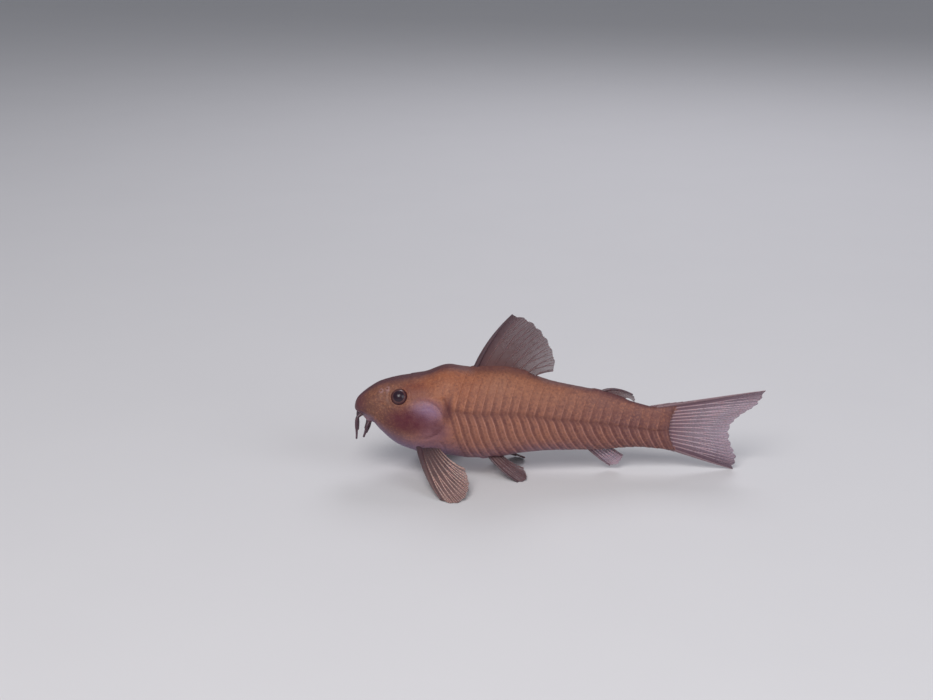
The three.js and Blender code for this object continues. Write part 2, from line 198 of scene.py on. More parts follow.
def finish_piece(piece, material, slot, *nodes):
    """Gives a piece its material, and lets it ride on the body in place of its CAD nodes. The slot is not
    used.
    """
    piece.data.materials.append(material)
    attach(piece, "root")
    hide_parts(*nodes)


# The body as one function

def outline_curve(column):
    """A smooth curve through one column of the outline, read against the square root of the distance.
    Between two rows it is a cubic whose end slopes are the harmonic means of the slopes on either side."""
    keys = np.sqrt(OUTLINE[:, 0])
    values = OUTLINE[:, column]
    rises = np.diff(values) / np.diff(keys)
    before = np.concatenate([rises[:1], rises])
    after = np.concatenate([rises, rises[-1:]])
    total = np.where(before * after > 0, before + after, 1)
    slopes = np.where(before * after > 0, 2 * before * after / total, 0)

    def curve(distance):
        at = np.sqrt(np.clip(distance, 0, SKIN_END))
        i = np.clip(np.searchsorted(keys, at, "right") - 1, 0, len(keys) - 2)
        span = keys[i + 1] - keys[i]
        u = (at - keys[i]) / span
        return ((2 * u**3 - 3 * u**2 + 1) * values[i] + (u**3 - 2 * u**2 + u) * span * slopes[i]
                + (3 * u**2 - 2 * u**3) * values[i + 1] + (u**3 - u**2) * span * slopes[i + 1])

    return curve


back_at = outline_curve(1)
belly_at = outline_curve(2)
width_at = outline_curve(3)


def line_share(distance):
    """The share of the half section, 0 at the back and 1 at the belly, at which the lateral line lies."""
    u = np.clip((distance - HEAD_END) / (STANDARD_LENGTH - HEAD_END), 0, 1)
    rise = (lerp(LINE_AT_HEAD, LINE_AT_TAIL, u) - WIDEST_LEVEL) / (1 - WIDEST_LEVEL)
    return np.arccos(rise ** (BACK_ROUND / 2)) / math.pi


def body_point(distance, share, side, out=0.0):
    """A point of the skin: a superellipse section, flatter below its widest level than above it."""
    distance, share, side = np.broadcast_arrays(distance, share, side)
    top = back_at(distance) + out
    bottom = belly_at(distance) - out
    middle = lerp(bottom, top, WIDEST_LEVEL)
    power = 2 / np.where(share <= 0.5, BACK_ROUND, BELLY_ROUND)
    across = np.abs(np.sin(share * math.pi)) ** power
    along = np.abs(np.cos(share * math.pi)) ** power
    z = np.where(share <= 0.5, lerp(middle, top, along), lerp(middle, bottom, along))
    return np.stack([SNOUT_X + distance, side * (width_at(distance) + out) * across, z], -1)


def sweep(distance, share):
    """How far behind its place on the lateral line a ring lies, at each share of the half section."""
    line = line_share(distance)
    amount = ease(distance, HEAD_END - SWEEP_START, HEAD_END)
    amount = amount * (1 - ease(distance, STALK_END - 0.6, SKIN_END))
    shrink = lerp(1, TAIL_SWEEP, ease(distance, TRUNK_END, STANDARD_LENGTH))
    below = np.clip((share - line) / (1 - line), 0, 1) ** 0.8
    back = np.where(share < line, UPPER_SWEEP * (1 - share / line), LOWER_SWEEP * below)
    return amount * shrink * back


# Places on the head, in millimetres behind the snout and above the floor
EYE = {"behind": 5.8, "level": 10.45, "out": 2.34, "radius": 1.12}
NOSTRILS = [(3.35, 0.2), (4.15, 0.185)]
COVER = {"behind": 8.4, "level": 7.95, "length": 5.4, "height": 4.5, "tilt": 0.25}
MOUTH = {"behind": 1.05, "upper": 7.8, "lower": 7.0, "half": 1.15}
LINE_POINTS = 60  # along a ridge or crease of the head
LIP_POINTS = 41


def eye_centre(side):
    """The middle of an eyeball."""
    return np.array([SNOUT_X + EYE["behind"], side * EYE["out"], EYE["level"]])


def body_line(places, side):
    """Points on the skin along a smooth curve through (distance, share) places on one side."""
    route = smooth_curve([(d, s, 0) for d, s in places], LINE_POINTS)
    return body_point(route[:, 0], route[:, 1], side)


def mouth_curve(level, rise):
    """One lip's centreline: a half ring that runs back as the square of the share across."""
    q = np.linspace(-1, 1, LIP_POINTS)
    return np.stack([SNOUT_X + MOUTH["behind"] + q**2, MOUTH["half"] * q, level + rise * q**2], 1)


SCUTE_EDGES = np.concatenate([
    np.linspace(HEAD_END, TRUNK_END, TRUNK_SCUTES + 1),
    np.linspace(TRUNK_END, STALK_END, STALK_SCUTES + 1)[1:],
])
SCUTES = TRUNK_SCUTES + STALK_SCUTES


# The skin's grid: rings along the head, within each scute and over the tail's end, and columns on one side
HEAD_RINGS = 185
SCUTE_RINGS = np.array([0, 0.14, 0.32, 0.5, 0.68, 0.83, 0.92, 0.96, 0.98])
TAIL_RINGS = 18
UPPER_COLUMNS = 60
LOWER_COLUMNS = 54


def skin_grid():
    """Ring places down the body and columns round it. Rings crowd towards the snout and towards each scute's
    rear edge. A column runs from 0 at the back over 1 at the lateral line to 2 at the belly."""
    head = HEAD_END * (np.arange(HEAD_RINGS) / HEAD_RINGS) ** 1.4
    pitch = np.diff(SCUTE_EDGES)
    scutes = (SCUTE_EDGES[:-1, None] + pitch[:, None] * SCUTE_RINGS).ravel()
    tail = np.linspace(STALK_END, SKIN_END, TAIL_RINGS)
    upper = np.linspace(0, 1, UPPER_COLUMNS)
    lower = np.linspace(1, 2, LOWER_COLUMNS)[1:]
    return np.concatenate([head[1:], scutes, tail]), np.concatenate([upper, lower])


def tail_close(behind, share, place):
    """The skin's rear end: its rings bend forwards at mid height as the square of the sine of the share, and
    the body thins to a narrow edge between the tail fin's two fleshy corners."""
    u = ease(place, STALK_END, SKIN_END)
    forwards = TAIL_HOLLOW * u * np.sin(math.pi * share) ** 2
    thin = lerp(1, TAIL_EDGE / np.maximum(width_at(behind - forwards), TAIL_EDGE), u)
    return behind - forwards, thin


def dermal_plates(place, column, behind):
    """Height of the scutes: each climbs from under the one before it to its rear edge, and drops there.
    They fade out at the middle of the back, and below on the trunk, where the belly is bare."""
    number = np.interp(place, SCUTE_EDGES, np.arange(SCUTES + 1))
    share = number - np.floor(np.minimum(number, SCUTES - 1e-6))
    armoured = ease(place, HEAD_END - 0.02, HEAD_END + 0.02)
    armoured *= 1 - ease(place, STALK_END - 0.05, STALK_END + 0.05)
    climb = share * (1 - ease(share, 0.955, 1.0))
    back_fade = ease(column, 0.02, 0.3)
    belly_end = lerp(1.74, 1.98, ease(behind, TRUNK_END - 6, TRUNK_END + 2))
    belly_fade = 1 - ease(column, belly_end - 0.36, belly_end)
    size = lerp(0.15, 0.1, number / SCUTES) * lerp(0.4, 1, ease(column, 0.75, 1.05))
    seam = bump(column - 1, 0.03)
    low = 0.75 * bump(column - 1, 0.09)
    plate = armoured * back_fade * belly_fade * size * climb * (1 - low)
    past = ease(place, STALK_END, SKIN_END)
    return plate - 0.06 * armoured * seam, number + past


# Ridges and creases on one side of the head: (distance, share) places, height, and width of the bell across.
# The gill slit runs on forwards to the throat, the shoulder's plates lie behind the cover, and the cheek has
# its plates under the eye.
HEAD_LINES = [
    ([(9.9, 0.72), (8.4, 0.83), (6.4, 0.9), (4.7, 0.93)], -0.14, 0.2),
    ([(11.3, 0.36), (11.7, 0.5), (12.0, 0.66), (11.3, 0.8)], 0.09, 0.5),
    ([(11.2, 0.33), (11.7, 0.385), (12.0, 0.44)], -0.13, 0.2),
    ([(10.9, 0.62), (11.4, 0.68), (11.5, 0.75)], -0.08, 0.18),
    ([(3.4, 0.36), (4.6, 0.43), (5.9, 0.45), (7.2, 0.4)], -0.04, 0.2),
    ([(1.9, 0.42), (3.4, 0.53), (5.2, 0.58)], -0.03, 0.2),
    ([(1.6, 0.3), (3.0, 0.33), (4.2, 0.34)], 0.04, 0.35),
]


def cover_relief(behind, level, across):
    """Height of the gill cover and of the slit round its rear. r is 1 on its outline, a drop that is tilted
    with its narrow end forwards and down."""
    a, w = behind - COVER["behind"], level - COVER["level"]
    along = (a * math.cos(COVER["tilt"]) + w * math.sin(COVER["tilt"])) / (COVER["length"] / 2)
    up = (w * math.cos(COVER["tilt"]) - a * math.sin(COVER["tilt"])) / (COVER["height"] / 2)
    narrow = 1 - 0.3 * np.clip(-along, 0, 1)
    r = (np.abs(along) ** 2.2 + np.abs(up / narrow) ** 2.2) ** (1 / 2.2)
    here = ease(across, 1.5, 2.6) * (1 - ease(behind, 13, 14))
    rear = ease(along - 0.25 * up, -0.35, 0.65)
    plate = 0.1 * (1 - ease(r, 0.3, 1.0)) + 0.04 * rear * bump(r - 0.9, 0.1)
    # Fine ribs that fan out from the hinge, near the cover's upper front
    turn = np.arctan2(w - 1.2, a + 1.9)
    ribs = 0.012 * np.sin(turn * 34) * (1 - ease(r, 0.75, 0.95)) * ease(r, 0.1, 0.5)
    slit = 0.12 * rear * bump(r - 1.06, 0.06)
    return here * (plate + ribs - slit)


def eye_relief(points, sign):
    """Height of the socket, its rim and the soft fold round it, from the distance to the line of sight."""
    offset = points - eye_centre(sign)
    looking = gaze(sign)
    depth = offset @ looking
    radial = np.linalg.norm(offset - depth[..., None] * looking, axis=-1) / EYE["radius"]
    rim = 0.07 * bump(radial - 1.0, 0.16)
    hole = 0.6 * (1 - ease(radial, 0.68, 0.97))
    fold = 0.03 * bump(radial - 1.5, 0.2)
    return np.where(depth > 0, rim - hole + fold, 0)


def mouth_relief(points, behind, share):
    """Height of the two lips, with the line of the mouth between them."""
    near_mouth = ease(4.0 - behind, 0, 0.8) * (share > 0.3)
    upper = near(points, mouth_curve(MOUTH["upper"] - 0.05, -0.1))
    lower = near(points, mouth_curve(MOUTH["lower"] - 0.1, 0.5))
    between = near(points, mouth_curve(lerp(MOUTH["lower"], MOUTH["upper"], 0.48), 0.12))
    return near_mouth * (0.3 * bump(upper, 0.4) + 0.48 * bump(lower, 0.45) - 0.5 * bump(between, 0.16))


def nape_relief(behind, share, across):
    """Height of the bony plate that narrows over the nape, and of the groove on top of the head."""
    tongue = 1 - ease(across / lerp(1.9, 0.5, np.clip((behind - 7.5) / 5.2, 0, 1)), 0.85, 1.1)
    plate = 0.07 * tongue * ease(behind, 6.9, 7.4) * (1 - ease(behind, 12.6, 13.4))
    groove = 0.06 * bump(across, 0.2) * ease(behind, 3.6, 4.4) * (1 - ease(behind, 7.0, 7.6))
    return (share < 0.3) * (plate - groove)


def head_relief(points, behind, share, side):
    """Height of the head's forms above the plain body."""
    across = np.abs(points[..., 1])
    height = cover_relief(behind, points[..., 2], across)
    height += nape_relief(behind, share, across)
    height += mouth_relief(points, behind, share)
    for sign in (-1, 1):
        here = side == sign
        height += here * eye_relief(points, sign)
        for places, rise, width in HEAD_LINES:
            height += here * rise * bump(near(points, body_line(places, sign)), width)
        for distance, level in NOSTRILS:
            # A hole with a low flap that stands higher behind it
            hole = np.linalg.norm(points - body_point(distance, level, sign), axis=-1)
            flap = np.linalg.norm(points - body_point(distance + 0.12, level + 0.005, sign), axis=-1)
            height += here * (0.09 * bump(flap - 0.2, 0.11) - 0.15 * bump(hole, 0.12))
    return height


def fin_bases(points, side):
    """Height of the low fleshy ridges that carry the fins, and of the vent."""
    height = 0.3 * bump(near(points, middle_line(15.1, 21.6, 0.0, 40)), 0.5)
    height += 0.18 * bump(near(points, middle_line(30.4, 34.0, 0.0, 40)), 0.4)
    height += 0.26 * bump(near(points, middle_line(28.5, 31.3, 1.0, 30)), 0.42)
    for sign in (-1, 1):
        here = side == sign
        height += here * 0.22 * bump(near(points, smooth_curve(pectoral_roots(sign), 20)), 0.62)
        height += here * 0.3 * bump(near(points, smooth_curve(pelvic_roots(sign), 12)), 0.45)
    vent = np.linalg.norm(points - body_point(27.4, 1.0, -1), axis=-1)
    return height + 0.16 * bump(vent - 0.26, 0.12) - 0.1 * bump(vent, 0.14)


def middle_line(start, end, share, count):
    """Points along the middle of the back, at share 0, or of the belly, at share 1."""
    return body_point(np.linspace(start, end, count), share, -1)


def pectoral_roots(side):
    """Where the pectoral fin's rays leave the body."""
    return [(-17.9, side * 3.0, 4.0), (-16.8, side * 3.1, 4.2), (-15.9, side * 2.8, 4.3)]


def pelvic_roots(side):
    """Where the pelvic fin's rays leave the body."""
    return [(-9.7, side * 1.6, 2.6), (-9.0, side * 1.4, 2.7), (-8.4, side * 1.1, 2.7)]


def zip_end(first, half, count):
    """Faces that close the last ring: each left column to the same column on the right."""
    j = np.arange(1, half - 2)
    quads = np.stack([j, j + 1, count - 1 - j, count - j], 1) + first
    triangles = np.array([[0, 1, count - 1], [half - 2, half - 1, half]]) + first
    return quads, triangles


def build_skin():
    """The whole body's skin as one closed grid, raised along its own normals by the plates and the forms."""
    places, column = skin_grid()
    rings = len(places)
    half = len(column)
    column = np.concatenate([column, column[-2:0:-1]])
    count = len(column)
    side = np.where(np.arange(count) < half, -1, 1)
    place, column = np.meshgrid(places, column, indexing="ij")
    side = np.broadcast_to(side, place.shape)
    line = line_share(place)
    share = np.where(column <= 1, column * line, line + (column - 1) * (1 - line))
    swept = np.minimum(place + sweep(place, share), SKIN_END)
    behind, thin = tail_close(swept, share, place)
    points = body_point(behind, share, side)
    points[..., 1] *= thin
    normals = grid_normals(points)
    centre = np.stack([points[..., 0], np.zeros(place.shape), np.full(place.shape, 8.0)], -1)
    normals = np.where(((points - centre) * normals).sum(-1).mean() > 0, normals, -normals)

    plates, number = dermal_plates(place, column, behind)
    forms = fin_bases(points, side) + np.where(behind < 16, head_relief(points, behind, share, side), 0)
    fade = 1 - ease(place, STALK_END, SKIN_END)
    points = points + normals * ((plates + forms) * fade)[..., None]

    snout = np.array([[SNOUT_X, 0, OUTLINE[0, 1]]])
    vertices = np.vstack([points.reshape(-1, 3), snout])
    end_quads, end_triangles = zip_end((rings - 1) * count, half, count)
    quads = np.vstack([grid_faces(rings, count), end_quads])
    triangles = np.vstack([fan(np.arange(count)[::-1], rings * count), end_triangles])
    shades = {"scute": number, "girth": column, "behind": behind, "relief": forms}
    attributes = {key: np.append(values.ravel(), values[0, 0]) for key, values in shades.items()}
    return make_piece("skin", vertices, quads, triangles, attributes)


# Fins

class Fin:
    """A fin's middle surface: straight from roots to tips, curled and bowed on the way, and gently waved.
    u runs from the root, 0, to the margin, 1, and v from the leading ray, 0, to the last one, 1."""

    def __init__(self, name, roots, tips, rays, curl, wave, turn):
        self.name = name
        self.rays = rays
        self.roots = smooth_curve(roots, 200)
        self.tips = smooth_curve(tips, 200)
        self.curl = np.array(curl, float)
        self.wave = wave
        self.turn = turn

    def along(self, curve, v):
        """The curve's point at each share v of its length."""
        grid = np.linspace(0, 1, len(curve))
        return np.stack([np.interp(v, grid, curve[:, k]) for k in range(3)], -1)

    def plain(self, u, v):
        """The surface before its waves."""
        u, v = np.broadcast_arrays(u, v)
        reach = u[..., None]
        straight = lerp(self.along(self.roots, v), self.along(self.tips, v), reach)
        return straight + self.curl * reach * (1 - reach) * 4

    def normal(self, u, v):
        """The unit normal, from small steps along u and v."""
        e = 0.01
        du = self.plain(np.minimum(u + e, 1), v) - self.plain(np.maximum(u - e, 0), v)
        dv = self.plain(u, np.minimum(v + e, 1)) - self.plain(u, np.maximum(v - e, 0))
        return unit(np.cross(du, dv))

    def point(self, u, v):
        """The surface with its waves, which grow as the square of u."""
        u, v = np.broadcast_arrays(u, v)
        lift = self.wave * u**2 * np.sin(2 * math.pi * (1.6 * v + 0.35 * u) + self.turn)
        return self.plain(u, v) + self.normal(u, v) * lift[..., None]


WEB_ROOT = 0.22  # a web's thickness at its root
WEB_EDGE = 0.045  # and at its margin
WEB_ROWS = 70
WEB_COLUMNS = 12  # from one ray to the next
WEB_FALL = 0.022  # how far the web falls short between two ray tips, as a share of the ray


def fin_web(fin):
    """The web as a thin closed sheet: the surface plus and minus half its thickness along the normal,
    cut back a little between the rays' tips, joined round the margin."""
    columns = (fin.rays - 1) * WEB_COLUMNS + 1
    u, v = np.meshgrid(np.linspace(0, 1, WEB_ROWS), np.linspace(0, 1, columns), indexing="ij")
    gap = np.sin(math.pi * v * (fin.rays - 1)) ** 2
    ragged = 0.5 + 0.5 * np.sin(v * 61.0 + fin.turn * 3) * np.sin(v * 23.0 + 1.3)
    reach = u * (1 - WEB_FALL * gap * u**3 * (0.6 + 0.8 * ragged))
    centre = fin.point(reach, v)
    normal = fin.normal(reach, v)
    half = lerp(WEB_ROOT, WEB_EDGE, u**0.6)[..., None] / 2
    front, rear = centre + normal * half, centre - normal * half
    points = np.concatenate([front, rear[:, ::-1]], axis=1)
    quads = grid_faces(WEB_ROWS, 2 * columns)
    ends = []
    for row, turn in ((0, 1), (WEB_ROWS - 1, -1)):
        j = np.arange(columns - 1)
        base = row * 2 * columns
        quad = np.stack([base + j, base + 2 * columns - 1 - j, base + 2 * columns - 2 - j, base + j + 1], 1)
        ends.append(quad[:, ::turn])
    shade = {
        "out": np.concatenate([u, u[:, ::-1]], 1),
        "across": np.concatenate([v, v[:, ::-1]], 1),
    }
    return points.reshape(-1, 3), np.vstack([quads, *ends]), shade


def tubes(paths, radii, normals, sides, shades):
    """Round tubes along many paths at once. A ring's point is the path's plus the radius times
    cosine along the normal and sine across it, and a fan closes each end."""
    count, steps = paths.shape[:2]
    tangent = unit(np.gradient(paths, axis=1))
    normal = unit(normals - (normals * tangent).sum(-1, keepdims=True) * tangent)
    across = np.cross(tangent, normal)
    angle = np.arange(sides) / sides * 2 * math.pi
    ring = np.cos(angle)[:, None] * normal[:, :, None] + np.sin(angle)[:, None] * across[:, :, None]
    body = paths[:, :, None] + radii[:, :, None, None] * ring
    block = steps * sides + 2
    beyond = np.array([-0.6, 0.6])[None, :, None] * radii[:, [0, -1], None]
    tips = paths[:, [0, -1]] + tangent[:, [0, -1]] * beyond
    points = np.concatenate([body.reshape(count, -1, 3), tips], 1)
    quads = grid_faces(steps, sides)
    caps = np.vstack([
        fan(np.arange(sides)[::-1], steps * sides),
        fan((steps - 1) * sides + np.arange(sides), steps * sides + 1),
    ])
    shift = (np.arange(count) * block)[:, None, None]
    shade = {}
    for key, values in shades.items():
        whole = np.repeat(values[:, :, None], sides, 2).reshape(count, -1)
        shade[key] = np.concatenate([whole, values[:, [0, -1]]], 1)
    quads = (quads[None] + shift).reshape(-1, 4)
    caps = (caps[None] + shift).reshape(-1, 3)
    return points.reshape(-1, 3), quads, caps, shade


# Soft rays: where they split, how far the branches part as a share of the spacing of the rays, and between
# which shares of the height they do so
SPLITS = (0.42, 0.72)
PARTING = ((0.24, SPLITS[0] - 0.02, SPLITS[0] + 0.34), (0.115, SPLITS[1] - 0.02, 0.98))
JOINT = 0.42  # length of a ray's segment
RAY_STEPS = 26
RAY_SIDES = 8


def branch_place(u, middle, room, signs):
    """A branch's v at each u. Each sign says to which side it goes at one split."""
    v = np.full_like(u, middle)
    for sign, (part, start, end) in zip(signs, PARTING):
        v = v + sign * room * part * ease(u, start, end)
    return v


def ray_set(fin, branches, start, end, radius_start, radius_end):
    """Rays of one order of branching as tubes. Their radius swells a little at every joint."""
    u = np.linspace(start, end, RAY_STEPS)
    v = np.clip(np.stack([branch_place(u, *branch) for branch in branches]), 0, 1)
    u = np.broadcast_to(u, v.shape)
    paths = fin.point(u, v)
    normals = fin.normal(u, v)
    segments = np.linalg.norm(np.diff(paths, axis=1), axis=2)
    length = np.concatenate([np.zeros((len(v), 1)), np.cumsum(segments, 1)], 1)
    share = (u - start) / (end - start)
    swell = 1 + 0.09 * np.cos(2 * math.pi * length / JOINT)
    radii = lerp(radius_start, radius_end, share**0.8) * swell
    return tubes(paths, radii, normals, RAY_SIDES, {"out": u, "across": v, "joint": length / JOINT})


def branching(fin, root_radius, tip_radius, count):
    """The soft rays behind the leading one: one stem to the first split, two branches to the second, and four
    from there on."""
    pitch = 1 / (fin.rays - 1)
    stems = [(k * pitch, (0.6 if k == fin.rays - 1 else 1.0) * pitch) for k in range(1, count)]
    ways = ([()], [(a,) for a in (-1, 1)], [(a, b) for a in (-1, 1) for b in (-1, 1)])
    orders = [[(*stem, signs) for stem in stems for signs in way] for way in ways]
    middle = lerp(root_radius, tip_radius, 0.45)
    late = lerp(root_radius, tip_radius, 0.78)
    first, second = SPLITS
    return [
        ray_set(fin, orders[0], 0.0, first + 0.03, root_radius, middle * 1.15),
        ray_set(fin, orders[1], first - 0.01, second + 0.03, middle * 0.85, late * 1.1),
        ray_set(fin, orders[2], second - 0.01, 0.99, late * 0.85, tip_radius),
    ]


def joined(parts):
    """Several sets of points, quads, triangles and shades as one."""
    points, quads, triangles, shades, start = [], [], [], {}, 0
    for p, q, t, shade in parts:
        points.append(p)
        quads.append(q + start)
        triangles.append(t + start)
        for key, values in shade.items():
            shades.setdefault(key, []).append(np.asarray(values).ravel())
        start += len(p)
    shades = {key: np.concatenate(values) for key, values in shades.items()}
    return np.vstack(points), np.vstack(quads), np.vstack(triangles), shades


SPINE_STEPS = 90
SPINE_SIDES = 12
TOOTH = 0.55  # from one tooth of a spine to the next


def spine(fin, v, root_radius, tip_radius, end, teeth=0.0):
    """A stiff spine along one ray, smooth in front, with small teeth behind where teeth is above 0."""
    u = np.linspace(0, end, SPINE_STEPS)[None]
    v = np.full_like(u, v)
    paths = fin.point(u, v)
    normals = fin.normal(u, v)
    share = u / end
    radii = lerp(root_radius, tip_radius, share**1.3)
    shades = {"out": u, "across": v, "joint": 0 * u}
    points, quads, caps, shade = tubes(paths, radii, normals, SPINE_SIDES, shades)
    if teeth:
        body = points[:-2].reshape(SPINE_STEPS, SPINE_SIDES, 3)
        length = np.cumsum(np.concatenate([[0], np.linalg.norm(np.diff(paths[0], axis=0), axis=1)]))
        saw = np.maximum(0, np.sin(2 * math.pi * length / TOOTH)) * ease(share[0], 0.15, 0.4)
        back = unit(fin.point(u, v + 0.05) - fin.point(u, v))[0]
        ring = body - paths[0][:, None]
        facing = np.clip((unit(ring) * back[:, None]).sum(-1), 0, 1) ** 3
        body += back[:, None] * (teeth * saw[:, None] * facing)[..., None]
        points = np.vstack([body.reshape(-1, 3), points[-2:]])
    return points, quads, caps, shade


# The fins' own sizes
SUNK = 1.2  # how far a ray starts under the skin
FLOOR_CLEAR = 0.004  # the lowest level of a fin


def back_root(distance):
    """A place under the middle of the back."""
    return (SNOUT_X + distance, 0, float(back_at(np.array(distance))) - SUNK)


def belly_root(distance):
    """A place above the middle of the belly."""
    return (SNOUT_X + distance, 0, float(belly_at(np.array(distance))) + SUNK)


def sided(side, points):
    """Points given for the left side, on the side that is asked for."""
    return [(x, -side * y, z) for x, y, z in points]


def all_fins():
    """The ten fins by name."""
    fins = {
        "dorsal_fin": Fin(
            "dorsal_fin",
            [back_root(14.9), back_root(18.5), back_root(21.9)],
            [(-6.1, 0, 20.6), (-4.3, 0, 20.1), (-2.6, 0, 18.6), (-1.2, 0, 16.3), (-0.7, 0, 14.3),
             (-0.9, 0, 13.2)],
            8, (-0.5, 0, 0.25), 0.2, 0.4),
        "adipose_fin": Fin(
            "adipose_fin",
            [back_root(30.2), back_root(32.2), back_root(34.0)],
            [(9.2, 0, 10.1), (9.5, 0, 9.6), (9.5, 0, 9.0)],
            4, (-0.4, 0, 0.95), 0.04, 1.0),
        "anal_fin": Fin(
            "anal_fin",
            [belly_root(28.4), belly_root(29.8), belly_root(31.4)],
            [(6.5, 0, 0.5), (7.7, 0, 0.95), (8.2, 0, 2.0)],
            7, (0, 0, -0.2), 0.12, 2.0),
        "caudal_fin": Fin(
            "caudal_fin",
            [(12.3, 0, 8.4), (12.9, 0, 5.9), (12.3, 0, 3.5)],
            [(26, 0, 10.6), (25.1, 0, 9.0), (22.9, 0, 7.2), (21.7, 0, 5.6), (21.8, 0, 3.8),
             (22.6, 0, 1.7), (22.3, 0, 0.0)],
            14, (0, 0, 0), 0.28, 0.9),
    }
    pectoral_tips = [(-14.9, -11.0, 0.1), (-13.6, -11.9, 0.1), (-12.2, -11.2, 0.3), (-11.5, -9.0, 1.3),
                     (-12.0, -6.6, 2.6)]
    pelvic_tips = [(-5.4, -4.7, 0.08), (-4.5, -4.3, 0.08), (-4.2, -3.1, 0.4), (-4.6, -2.2, 1.0)]
    for side, word in ((-1, "left"), (1, "right")):
        fins[f"{word}_pectoral_fin"] = Fin(
            f"{word}_pectoral_fin",
            sided(side, [(-17.9, -2.9, 4.5), (-16.8, -3.0, 4.7), (-15.9, -2.7, 4.8)]),
            sided(side, pectoral_tips), 8, (-0.3, side * 0.5, -0.2), 0.1, 0.5)
        fins[f"{word}_pelvic_fin"] = Fin(
            f"{word}_pelvic_fin",
            sided(side, [(-9.7, -1.5, 3.4), (-9.0, -1.3, 3.5), (-8.4, -1.0, 3.5)]),
            sided(side, pelvic_tips), 6, (-0.2, side * 0.3, -0.2), 0.08, 1.4)
    return fins


# Root and tip radii of a soft ray, then of the leading spine, its share of the fin's height, and its teeth
RAYS = {
    "dorsal_fin": (0.15, 0.035, 0.36, 0.07, 1.0, 0.06),
    "adipose_fin": (0.0, 0.0, 0.24, 0.09, 1.0, 0.0),
    "anal_fin": (0.12, 0.035, 0.17, 0.05, 1.0, 0.0),
    "caudal_fin": (0.14, 0.032, 0.22, 0.05, 1.0, 0.0),
    "pectoral_fin": (0.15, 0.035, 0.42, 0.09, 0.97, 0.09),
    "pelvic_fin": (0.12, 0.035, 0.18, 0.05, 1.0, 0.0),
}


def build_fin(fin, web_material, ray_material):
    """A fin's web and its rays, as two pieces that stand for the fin's node."""
    kind = fin.name.replace("left_", "").replace("right_", "")
    root, tip, spine_root, spine_tip, reach, teeth = RAYS[kind]
    parts = [spine(fin, 0.0, spine_root, spine_tip, reach, teeth)]
    is_tail = kind == "caudal_fin"
    if root:
        parts += branching(fin, root, tip, fin.rays - 1 if is_tail else fin.rays)
    if is_tail:
        parts.append(spine(fin, 1.0, spine_root, spine_tip, reach))
        parts += tail_stays(fin)
    points, quads, triangles, shade = joined(parts)
    points[:, 2] = np.maximum(points[:, 2], FLOOR_CLEAR)
    rays = make_piece(f"{fin.name}_rays", points, quads, triangles, shade)
    points, quads, shade = fin_web(fin)
    points[:, 2] = np.maximum(points[:, 2], FLOOR_CLEAR)
    web = make_piece(f"{fin.name}_web", points, quads, (), shade)
    finish_piece(web, web_material, "fin", fin.name)
    finish_piece(rays, ray_material, "fin", fin.name)


STAYS = 4  # short rays at each edge of the tail fin
STAY_POINTS = 14


def tail_stays(fin):
    """The short stiff rays in front of the tail fin's upper and lower edges, each longer than the last."""
    parts = []
    for v, lift in ((0.0, 1), (1.0, -1)):
        for k in range(STAYS):
            start = fin.point(np.array(0.02), np.array(v)) + np.array([-0.35 * k, 0, 0.03 * lift * k])
            end = fin.point(np.array(0.30 - 0.06 * k), np.array(v))
            end = end + np.array([0, 0, lift * (0.16 + 0.05 * k)])
            path = lerp(start, end, np.linspace(0, 1, STAY_POINTS)[:, None])[None]
            radii = np.linspace(0.11, 0.04, STAY_POINTS)[None]
            normals = np.broadcast_to(np.array([0.0, 1.0, 0.0]), path.shape)
            share = np.linspace(0, 0.3, STAY_POINTS)[None]
            shades = {"out": share, "across": share * 0 + v, "joint": share * 0}
            parts.append(tubes(path, radii, normals, RAY_SIDES, shades))
    return parts


# Eyes and barbels

def gaze(side):
    """The direction an eye looks in: from its middle to the skin nearest to it, turned a little forwards."""
    ring = body_point(EYE["behind"], np.linspace(0.1, 0.5, 200), side)
    centre = eye_centre(side)
    nearest = ring[np.argmin(np.linalg.norm(ring - centre, axis=1))]
    return unit(unit(nearest - centre) + np.array([-0.12, 0, 0]))


EYE_RINGS = 90
EYE_SIDES = 96


def build_eye(side, word, material):
    """A ball with a slightly domed clear front. Its rings are at even angles from the line of sight."""
    axis = gaze(side)
    east = unit(np.cross(axis, [0, 0, 1.0]))
    north = np.cross(east, axis)
    rings = np.linspace(0.02, math.pi - 0.02, EYE_RINGS)
    turns = np.arange(EYE_SIDES) / EYE_SIDES * 2 * math.pi
    theta, phi = np.meshgrid(rings, turns, indexing="ij")
    radius = EYE["radius"] * (1 + 0.045 * bump(theta, 0.62))[..., None]
    ring = np.cos(phi)[..., None] * east + np.sin(phi)[..., None] * north
    points = eye_centre(side) + radius * (np.cos(theta)[..., None] * axis + np.sin(theta)[..., None] * ring)
    tips = eye_centre(side) + np.array([[1.045], [-1.0]]) * EYE["radius"] * axis
    count = points.shape[1]
    caps = np.vstack([fan(np.arange(count)[::-1], points.size // 3),
                      fan((len(points) - 1) * count + np.arange(count), points.size // 3 + 1)])
    angle = np.concatenate([np.degrees(theta).ravel(), [0, 180]])
    turn = np.concatenate([np.cos(phi * 9).ravel(), [0, 0]])
    piece = make_piece(f"{word}_eyeball", np.vstack([points.reshape(-1, 3), tips]),
                       grid_faces(len(points), count), caps, {"angle": angle, "spoke": turn})
    finish_piece(piece, material, "eye", f"{word}_eye")


